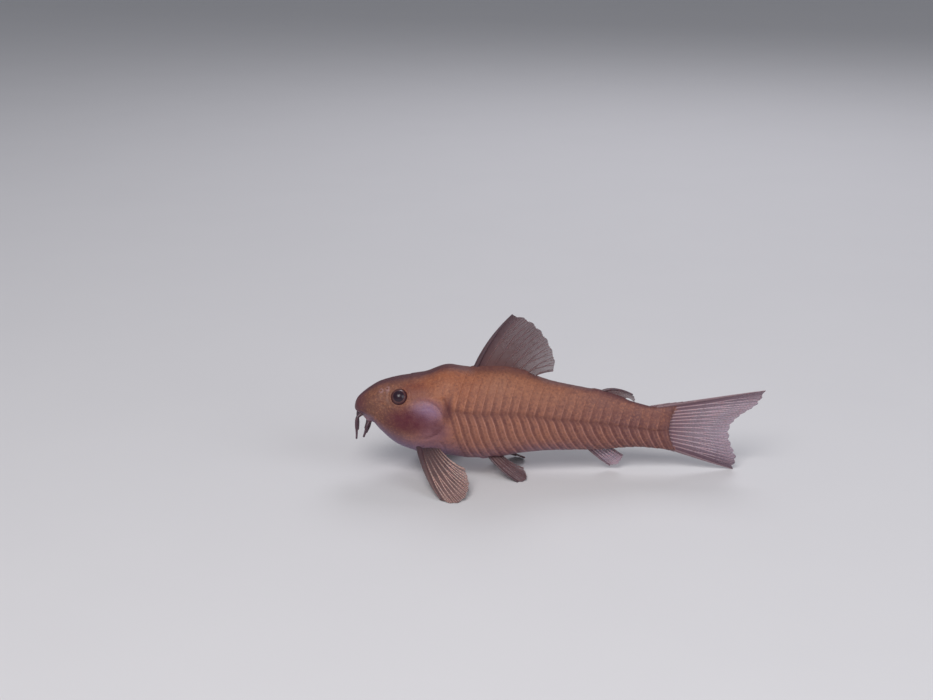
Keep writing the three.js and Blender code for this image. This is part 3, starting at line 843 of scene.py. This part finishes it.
BARBELS = {
    "upper_barbel": [(-0.2, -0.45, 0.75), (-0.85, -0.25, 0.45), (-1.36, 0.1, 0.05), (-1.5, 0.4, -0.8),
                     (-1.46, 0.5, -1.7), (-1.5, 0.46, -2.64)],
    "lower_barbel": [(0.35, -0.2, -0.05), (0.1, 0.05, -0.5), (-0.2, 0.35, -1.1), (-0.35, 0.45, -1.7),
                     (-0.6, 0.42, -2.44)],
    "chin_barbel": [(0.25, -0.65, -0.35), (0.15, -0.65, -0.8), (0.05, -0.6, -1.3), (-0.1, -0.5, -1.7),
                    (-0.3, -0.38, -2.14)],
}


BARBEL_STEPS = 70
BARBEL_SIDES = 16


def build_barbel(side, word, name, material):
    """A tapered feeler whose root flares into the lip. Its radius falls from root to tip."""
    corner = np.array([SNOUT_X + MOUTH["behind"] + 0.7, side * (MOUTH["half"] + 0.1), MOUTH["upper"] - 0.35])
    route = np.array([(x, side * y, z) for x, y, z in BARBELS[name]]) + corner
    path = smooth_curve(route, BARBEL_STEPS)[None]
    u = np.linspace(0, 1, BARBEL_STEPS)[None]
    radii = lerp(0.25, 0.12, u**1.1) + 0.2 * bump(u, 0.14)
    normals = np.broadcast_to(np.array([0, side * 1.0, 0.2]), path.shape)
    points, quads, caps, shade = tubes(path, radii, normals, BARBEL_SIDES, {"out": u})
    piece = make_piece(f"{word}_{name}_feeler", points, quads, caps, shade)
    finish_piece(piece, material, "barbel", f"{word}_{name}")


# Materials

class Wire:
    """A socket of a material's node tree. Arithmetic on it adds Math nodes."""

    def __init__(self, paint, socket):
        self.paint = paint
        self.socket = socket

    def __add__(self, other):
        return self.paint.math("ADD", self, other)

    def __sub__(self, other):
        return self.paint.math("SUBTRACT", self, other)

    def __rsub__(self, other):
        return self.paint.math("SUBTRACT", other, self)

    def __mul__(self, other):
        return self.paint.math("MULTIPLY", self, other)

    def __truediv__(self, other):
        return self.paint.math("DIVIDE", self, other)

    def __neg__(self):
        return self.paint.math("MULTIPLY", self, -1.0)

    __radd__ = __add__
    __rmul__ = __mul__


class Paint:
    """One material. set() gives a shader socket a number, a colour or a wire."""

    def __init__(self, name, **constants):
        self.material = bpy.data.materials.new(name)
        self.material.use_nodes = True
        self.tree = self.material.node_tree
        self.shader = self.tree.nodes["Principled BSDF"]
        for key, value in constants.items():
            self.shader.inputs[key.replace("_", " ")].default_value = value

    def put(self, socket, value):
        """A link from a wire, or a plain value."""
        if isinstance(value, Wire):
            self.tree.links.new(value.socket, socket)
        else:
            socket.default_value = value

    def set(self, name, value):
        self.put(self.shader.inputs[name], value)

    def node(self, kind, settings=None, inputs=None, output=0):
        """Any node: its settings first, then the values or links of its sockets by name or number."""
        made = self.tree.nodes.new(kind)
        for key, value in (settings or {}).items():
            setattr(made, key, value)
        for key, value in (inputs or {}).items():
            self.put(made.inputs[key], value)
        return Wire(self, made.outputs[output])

    def math(self, operation, *values):
        return self.node("ShaderNodeMath", {"operation": operation}, dict(enumerate(values)))

    def attribute(self, name):
        return self.node("ShaderNodeAttribute", {"attribute_name": name}, output="Fac")

    def place(self):
        """Object coordinates in millimetres."""
        where = self.node("ShaderNodeTexCoord", output="Object")
        return self.node("ShaderNodeVectorMath", {"operation": "SCALE"}, {0: where, "Scale": 1 / MM})

    def axes(self):
        """Object x, y and z in millimetres."""
        split = self.tree.nodes.new("ShaderNodeSeparateXYZ")
        self.put(split.inputs[0], self.place())
        return [Wire(self, out) for out in split.outputs]

    def step(self, value, low, high):
        """3u^2 - 2u^3 of the share u of the way from low to high."""
        return self.node("ShaderNodeMapRange", {"interpolation_type": "SMOOTHSTEP"},
                         {"Value": value, "From Min": low, "From Max": high})

    def noise(self, scale, detail=3.0, rough=0.55):
        return self.node("ShaderNodeTexNoise", inputs={
            "Vector": self.place(), "Scale": scale, "Detail": detail, "Roughness": rough})

    def cells(self, scale):
        """The distance to the nearest of scattered points."""
        return self.node("ShaderNodeTexVoronoi", {"feature": "F1"}, {
            "Vector": self.place(), "Scale": scale, "Randomness": 1.0})

    def bell(self, value, middle, width):
        """e to the minus ((value - middle) over width) squared."""
        share = (value - middle) / width
        return self.math("EXPONENT", -(share * share))

    def oval(self, a, b, middle, size, soft=0.5):
        """1 inside an oval in two measures and 0 outside it, with a soft edge."""
        da, db = (a - middle[0]) / size[0], (b - middle[1]) / size[1]
        return 1 - self.step(self.math("SQRT", da * da + db * db), 1 - soft, 1 + soft)

    def mix(self, share, first, second):
        return self.node("ShaderNodeMix", {"data_type": "RGBA"}, {0: share, 6: first, 7: second}, 2)

    def bump(self, height, distance, strength=1.0):
        """A bump whose height is given in millimetres at full strength."""
        return self.node("ShaderNodeBump", inputs={
            "Height": height, "Distance": distance * MM, "Strength": strength})


def colour(red, green, blue):
    """A screen colour, 0 to 255, as the linear one that nodes use."""
    return tuple(((c / 255 + 0.055) / 1.055) ** 2.4 for c in (red, green, blue)) + (1.0,)


def skin_places(paint):
    """What the skin's layers read: places on the fish, and clouds of four sizes."""
    x, y, z = paint.axes()
    at = SimpleNamespace(behind=x - SNOUT_X, z=z)
    at.side = paint.step(paint.math("ABSOLUTE", y), 1.2, 2.4)
    at.girth = paint.attribute("girth")
    at.scute = paint.attribute("scute")
    at.relief = paint.attribute("relief")
    at.broad = paint.noise(0.32, 2.0)
    at.patches = paint.noise(1.1, 4.0, 0.6)
    at.speck = paint.noise(3.2, 4.0, 0.7)
    at.fine = paint.noise(7.0, 3.0, 0.6)
    at.crown = 1 - paint.step(at.girth, 0.12 * at.patches, 0.36)
    return at


def ground_layers(paint, at):
    """The ground colour from back to belly and from head to tail, with its clouds and specks."""
    belly = paint.step(at.girth, 1.2, 1.8) * (1 - 0.6 * paint.step(at.behind, 26, 33))
    return [
        (paint.step(at.girth, 0.4, 1.15), (142, 93, 78)),
        (belly, (134, 105, 126)),
        (paint.oval(at.behind, at.girth, (11.2, 0.5), (5.0, 0.5), 0.6) * 0.75, (144, 82, 54)),
        (paint.step(at.behind, 20, 37) * 0.8, (104, 68, 71)),
        ((1 - paint.step(at.behind, 4.5, 9.5)) * 0.85, (98, 64, 55)),
        (paint.step(at.broad, 0.35, 0.7) * 0.25, (156, 98, 70)),
        (paint.step(at.patches, 0.48, 0.72) * 0.4, (106, 64, 58)),
        (paint.step(at.speck, 0.5, 0.66) * 0.4, (178, 120, 88)),
        ((1 - paint.step(at.speck, 0.34, 0.48)) * 0.45, (88, 50, 48)),
    ]


def plate_layers(paint, at):
    """Painted shade on the skin just behind each plate's step, under the edge of the plate before, and a
    painted highlight along each plate's raised rear edge with a fainter pale line across its middle, both
    strongest below the lateral line.
    Then the tail's dark skin and paler edge, and dark purple-brown along the back and the top of the head."""
    armoured = paint.step(at.scute, 0.01, 0.1) * (1 - paint.step(at.scute, SCUTES - 0.1, SCUTES))
    part = paint.math("FRACT", at.scute)
    low = paint.step(at.girth, 0.95, 1.1)
    by_line = paint.bell(at.girth, 0.92, 0.2)
    bare = paint.step(at.girth, 1.7, 1.9) * (1 - paint.step(at.behind, 25, 28))
    plated = armoured * (1 - bare)
    # Painted highlight: a pale band along each plate's raised rear edge, plus a fainter pale line across the
    # plate's middle
    edge = paint.bell(part, 0.9, 0.07) * plated * (0.5 + at.patches)
    edge = edge + 0.35 * paint.bell(part, 0.5, 0.06) * plated
    # Painted shade: a dark band on the skin just behind each plate's step, under the edge of the plate before
    shade = paint.bell(part, 0.2, 0.22) * plated
    forehead = (1 - paint.step(at.girth, 0.1, 0.5)) * (1 - paint.step(at.behind, 6.0, 11.0))
    return [
        # Painted shade, then painted highlight, of the plates, strongest at the lateral line and below it
        (shade * (0.04 + 0.36 * low + 0.42 * by_line), (84, 46, 48)),
        (edge * (0.04 + 0.36 * low + 0.2 * by_line), (186, 134, 118)),
        (paint.bell(at.girth, 1.0, 0.05) * plated * 0.45, (88, 48, 46)),
        (paint.bell(at.scute, SCUTES + 0.05, 0.6) * 0.45, (84, 52, 58)),
        (paint.step(at.scute, SCUTES + 0.55, SCUTES + 1.0) * 0.5, (128, 96, 96)),
        (at.crown * (0.85 - 0.2 * paint.step(at.behind, 11, 16)), (68, 39, 50)),
        (forehead * 0.4, (84, 48, 56)),
    ]


def head_layers(paint, at):
    """Gill cover, temple, throat, lips, snout and nostrils, and painted shade in the creases."""

    def patch(middle, size, soft):
        return paint.oval(at.behind, at.z, middle, size, soft) * at.side

    lips = (1 - paint.step(at.behind, 1.6, 3.0)) * (1 - paint.step(at.z, 7.5, 8.4))
    layers = [
        (patch((9.1, 9.1), (1.7, 1.25), 0.7) * (0.2 + 0.7 * at.broad + 0.5 * at.patches), (132, 106, 138)),
        (patch((9.9, 6.7), (2.0, 1.5), 0.7) * 0.7, (122, 82, 96)),
        (patch((6.9, 7.9), (2.7, 1.45), 0.6) * (0.5 + 0.8 * at.patches), (86, 32, 44)),
        (patch((7.7, 11.5), (1.7, 1.1), 0.7) * 0.6, (104, 42, 32)),
        (patch((10.5, 7.2), (0.8, 0.9), 0.7) * at.patches, (82, 38, 50)),
        (patch((11.8, 9.4), (0.55, 1.4), 0.7) * 0.75, (84, 40, 44)),
        (paint.step(at.girth, 1.2, 1.7) * (1 - paint.step(at.behind, 10, 15)) * 0.85, (126, 105, 134)),
        (lips * 0.7, (142, 108, 110)),
        ((1 - paint.step(at.behind, 0.3, 2.2)) * paint.step(at.z, 7.6, 8.6) * 0.75, (84, 44, 58)),
    ]
    for distance, share in NOSTRILS:
        level = float(body_point(distance, share, -1)[2])
        pale = paint.oval(at.behind, at.z, (distance, level), (0.38, 0.42), 0.45)
        layers.append((pale * paint.step(at.relief, -0.02, 0.08) * 0.6, (160, 122, 122)))
    # Painted shade: darker wherever the forms sink below the plain body, in creases, sockets, slits and holes
    layers.append((paint.step(-at.relief, 0.03, 0.18) * 0.65, (78, 38, 46)))
    return layers


def skin_paint():
    """Orange-brown skin over the plates: golden nape, dark back, mauve belly, red and pale gill cover."""
    paint = Paint("catfish_skin", Subsurface_Weight=0.1, Subsurface_Scale=0.0006, Specular_IOR_Level=0.3,
                  Coat_Roughness=0.3, Coat_IOR=1.33)
    paint.shader.inputs["Subsurface Radius"].default_value = (1.0, 0.45, 0.3)
    at = skin_places(paint)
    tone = colour(142, 92, 70)
    for share, tint in ground_layers(paint, at) + plate_layers(paint, at) + head_layers(paint, at):
        tone = paint.mix(share, tone, colour(*tint))
    paint.set("Base Color", tone)
    paint.set("Roughness", 0.46 + 0.2 * at.patches + 0.14 * at.crown)
    paint.set("Coat Weight", 0.06 + 0.12 * (1 - paint.step(at.behind, 9, 14)) * (1 - at.crown))
    pores = paint.step(paint.cells(4.2), 0.0, 0.5)
    paint.set("Normal", paint.bump(0.5 * pores + 0.5 * at.speck + 0.5 * at.fine, 0.06, 0.8))
    return paint.material


def web_paint(name, root, edge, leading, density, both_edges=False):
    """Brown-grey web, denser near the root and towards the leading edge, or towards both edges of a tail fin.
    Elsewhere it is clearer towards the rear. density is its share near the root."""
    paint = Paint(name, IOR=1.36, Coat_Weight=0.1, Coat_Roughness=0.3)
    out = paint.attribute("out")
    across = paint.attribute("across")
    cloud = paint.noise(1.3, 4.0, 0.6)
    fine = paint.noise(7.0, 3.0, 0.6)
    tone = paint.mix(out, root, edge)
    tone = paint.mix(paint.step(cloud, 0.4, 0.75) * 0.5, tone, root)
    front = 1 - paint.step(across, 0.0, 0.2)
    rear = 0.0
    if both_edges:
        front = front + paint.step(across, 0.82, 1.0)
    else:
        rear = paint.step(across, 0.35, 1.0)
    tone = paint.mix(front * 0.7, tone, leading)
    dots = paint.step(paint.cells(4.5), 0.26, 0.08) * paint.step(cloud, 0.4, 0.62)
    tone = paint.mix(dots * 0.5, tone, leading)
    paint.set("Base Color", tone)
    cover = density - 0.2 * rear - 0.28 * out + 0.2 * front + 0.15 * dots
    cover = cover + 0.2 * (1 - paint.step(out, 0.1, 0.4))
    paint.set("Alpha", paint.math("MINIMUM", cover + 0.16 * (cloud - 0.5), 1.0))
    paint.set("Roughness", 0.45 + 0.2 * fine)
    paint.set("Normal", paint.bump(fine + 0.6 * cloud, 0.03, 0.6))
    return paint.material


def ray_paint(name, root, tip, leading, both_edges=False):
    """Bony rays, paler outwards, with a dark ring at every joint and a darker leading edge, or both edges."""
    paint = Paint(name, Subsurface_Weight=0.15, Subsurface_Scale=0.0003, Coat_Weight=0.3, Coat_Roughness=0.2)
    out = paint.attribute("out")
    across = paint.attribute("across")
    joint = paint.attribute("joint")
    cloud = paint.noise(2.2, 3.0)
    tone = paint.mix(paint.step(out, 0.05, 0.75), root, tip)
    ring = paint.math("FRACT", joint)
    tone = paint.mix(paint.bell(ring, 0.5, 0.13) * paint.step(joint, 0.2, 0.6) * 0.4, tone, root)
    front = 1 - paint.step(across, 0.01, 0.12)
    if both_edges:
        front = front + paint.step(across, 0.88, 0.99)
    tone = paint.mix(front * 0.8, tone, leading)
    tone = paint.mix(paint.step(cloud, 0.5, 0.75) * 0.35, tone, root)
    paint.set("Base Color", tone)
    paint.set("Roughness", 0.38 + 0.2 * cloud)
    paint.set("Normal", paint.bump(paint.noise(12.0, 3.0), 0.02, 0.5))
    return paint.material


def eye_paint():
    """A wide purple-black pupil and a dim orange-brown ring with fine spokes, under a wet coat."""
    paint = Paint("eye", Coat_Weight=0.3, Coat_Roughness=0.14, Specular_IOR_Level=0.25)
    angle = paint.attribute("angle")
    spoke = paint.attribute("spoke")
    cloud = paint.noise(4.0, 4.0, 0.6)
    wavy = angle + 3.0 * (cloud - 0.5) + 0.6 * spoke
    tone = paint.mix(paint.step(wavy, 36, 41), colour(40, 21, 33), colour(80, 46, 48))
    tone = paint.mix(paint.bell(wavy, 41.5, 2.0) * 0.35, tone, colour(116, 74, 62))
    tone = paint.mix(paint.step(wavy, 44, 58), tone, colour(62, 35, 46))
    tone = paint.mix(paint.step(cloud, 0.5, 0.7) * paint.step(angle, 37, 42) * 0.5, tone, colour(70, 38, 40))
    paint.set("Base Color", tone)
    paint.set("Roughness", 0.26 + 0.1 * cloud)
    paint.set("Normal", paint.bump(cloud, 0.01, 0.3))
    return paint.material


def barbel_paint():
    """Dark brown feelers with a paler root and fine rings."""
    paint = Paint("barbel", Subsurface_Weight=0.2, Subsurface_Scale=0.0004, Coat_Weight=0.3,
                  Coat_Roughness=0.2)
    out = paint.attribute("out")
    cloud = paint.noise(2.4, 3.0)
    tone = paint.mix(paint.step(out, 0.0, 0.35), colour(112, 74, 74), colour(70, 42, 54))
    tone = paint.mix(paint.step(out, 0.7, 1.0) * 0.5, tone, colour(108, 82, 92))
    tone = paint.mix(paint.step(cloud, 0.45, 0.7) * 0.4, tone, colour(52, 30, 38))
    paint.set("Base Color", tone)
    paint.set("Roughness", 0.4 + 0.15 * cloud)
    rings = paint.math("SINE", out * 130)
    paint.set("Normal", paint.bump(rings * 0.15 + paint.noise(8.0), 0.02, 0.4))
    return paint.material


# Stage: floor, light and camera

def build_stage():
    """A plain pale floor under soft light."""
    size = 4000.0  # half the floor's width
    corners = [(-size, -size, 0), (size, -size, 0), (size, size, 0), (-size, size, 0)]
    mesh = bpy.data.meshes.new("studio_floor")
    mesh.from_pydata([tuple(c * MM for c in p) for p in corners], [], [(0, 1, 2, 3)])
    floor = bpy.data.objects.new("studio_floor", mesh)
    bpy.context.scene.collection.objects.link(floor)
    paint = Paint("studio_floor", Roughness=0.75)
    paint.set("Base Color", paint.mix(paint.noise(0.05) * 0.3, colour(212, 210, 211), colour(202, 200, 202)))
    floor.data.materials.append(paint.material)
    world = bpy.data.worlds.new("studio")
    bpy.context.scene.world = world
    world.use_nodes = True
    world.node_tree.nodes["Background"].inputs[0].default_value = (0.86, 0.9, 1.0, 1)
    world.node_tree.nodes["Background"].inputs[1].default_value = 0.27
    bpy.context.scene.view_settings.view_transform = "Standard"


def add_light(name, place, target, size, power, tint=(1, 1, 1)):
    """A square soft light that faces its target, in millimetres and watts."""
    light = bpy.data.lights.new(name, "AREA")
    light.size = size * MM
    light.energy = power
    light.color = tint
    lamp = bpy.data.objects.new(name, light)
    lamp.location = Vector(place) * MM
    lamp.rotation_mode = "QUATERNION"
    lamp.rotation_quaternion = (Vector(target) - Vector(place)).to_track_quat("-Z", "Y")
    bpy.context.scene.collection.objects.link(lamp)


TARGET = (-11.84, 0.0, 16.0)
LOOK_DOWN = math.radians(17)
LENS = 70.0
FIELD = 117.2  # width of the view at the target
SENSOR = 36.0  # width of the camera's sensor


def build_camera():
    """A camera at the photograph's angle, as far back as makes the field that wide."""
    away = FIELD / SENSOR * LENS
    back = Vector((0, -math.cos(LOOK_DOWN), math.sin(LOOK_DOWN)))
    camera = bpy.data.objects.new("camera", bpy.data.cameras.new("camera"))
    camera.data.lens = LENS
    camera.data.sensor_width = SENSOR
    camera.data.clip_start = 0.005
    camera.data.clip_end = 20
    camera.location = (Vector(TARGET) + back * away) * MM
    camera.rotation_mode = "QUATERNION"
    camera.rotation_quaternion = (-back).to_track_quat("-Z", "Y")
    bpy.context.scene.collection.objects.link(camera)
    bpy.context.scene.camera = camera


build_camera()
build_stage()
add_light("key", (-90, -270, 300), (0, 0, 8), 220, 1.15, (1.0, 0.98, 0.97))
add_light("fill", (260, -190, 160), (0, 0, 8), 220, 0.36, (0.9, 0.94, 1.0))
add_light("rim", (60, 260, 240), (0, 0, 8), 160, 0.3, (0.93, 0.93, 1.0))

skin = build_skin()
finish_piece(skin, skin_paint(), "flank_skin", "head", "trunk", "tail_stalk", "left_gill_cover",
             "right_gill_cover")

eye_material = eye_paint()
barbel_material = barbel_paint()
for side, word in ((-1, "left"), (1, "right")):
    build_eye(side, word, eye_material)
    for name in BARBELS:
        build_barbel(side, word, name, barbel_material)

pale_web = web_paint("pale_web", colour(116, 86, 94), colour(126, 100, 122), colour(86, 58, 68), 0.76, True)
brown_web = web_paint("brown_web", colour(98, 68, 66), colour(94, 70, 76), colour(66, 42, 50), 0.9)
pale_rays = ray_paint("pale_rays", colour(154, 122, 126), colour(184, 160, 170), colour(98, 70, 76), True)
brown_rays = ray_paint("brown_rays", colour(94, 62, 60), colour(106, 80, 84), colour(66, 43, 52))
breast_web = web_paint("breast_web", colour(54, 38, 44), colour(140, 108, 104), colour(66, 44, 50), 0.95)
breast_rays = ray_paint("breast_rays", colour(58, 39, 43), colour(192, 156, 146), colour(66, 43, 50))
for fin in all_fins().values():
    if fin.name in ("caudal_fin", "anal_fin"):
        build_fin(fin, pale_web, pale_rays)
    elif "pectoral" in fin.name:
        build_fin(fin, breast_web, breast_rays)
    else:
        build_fin(fin, brown_web, brown_rays)
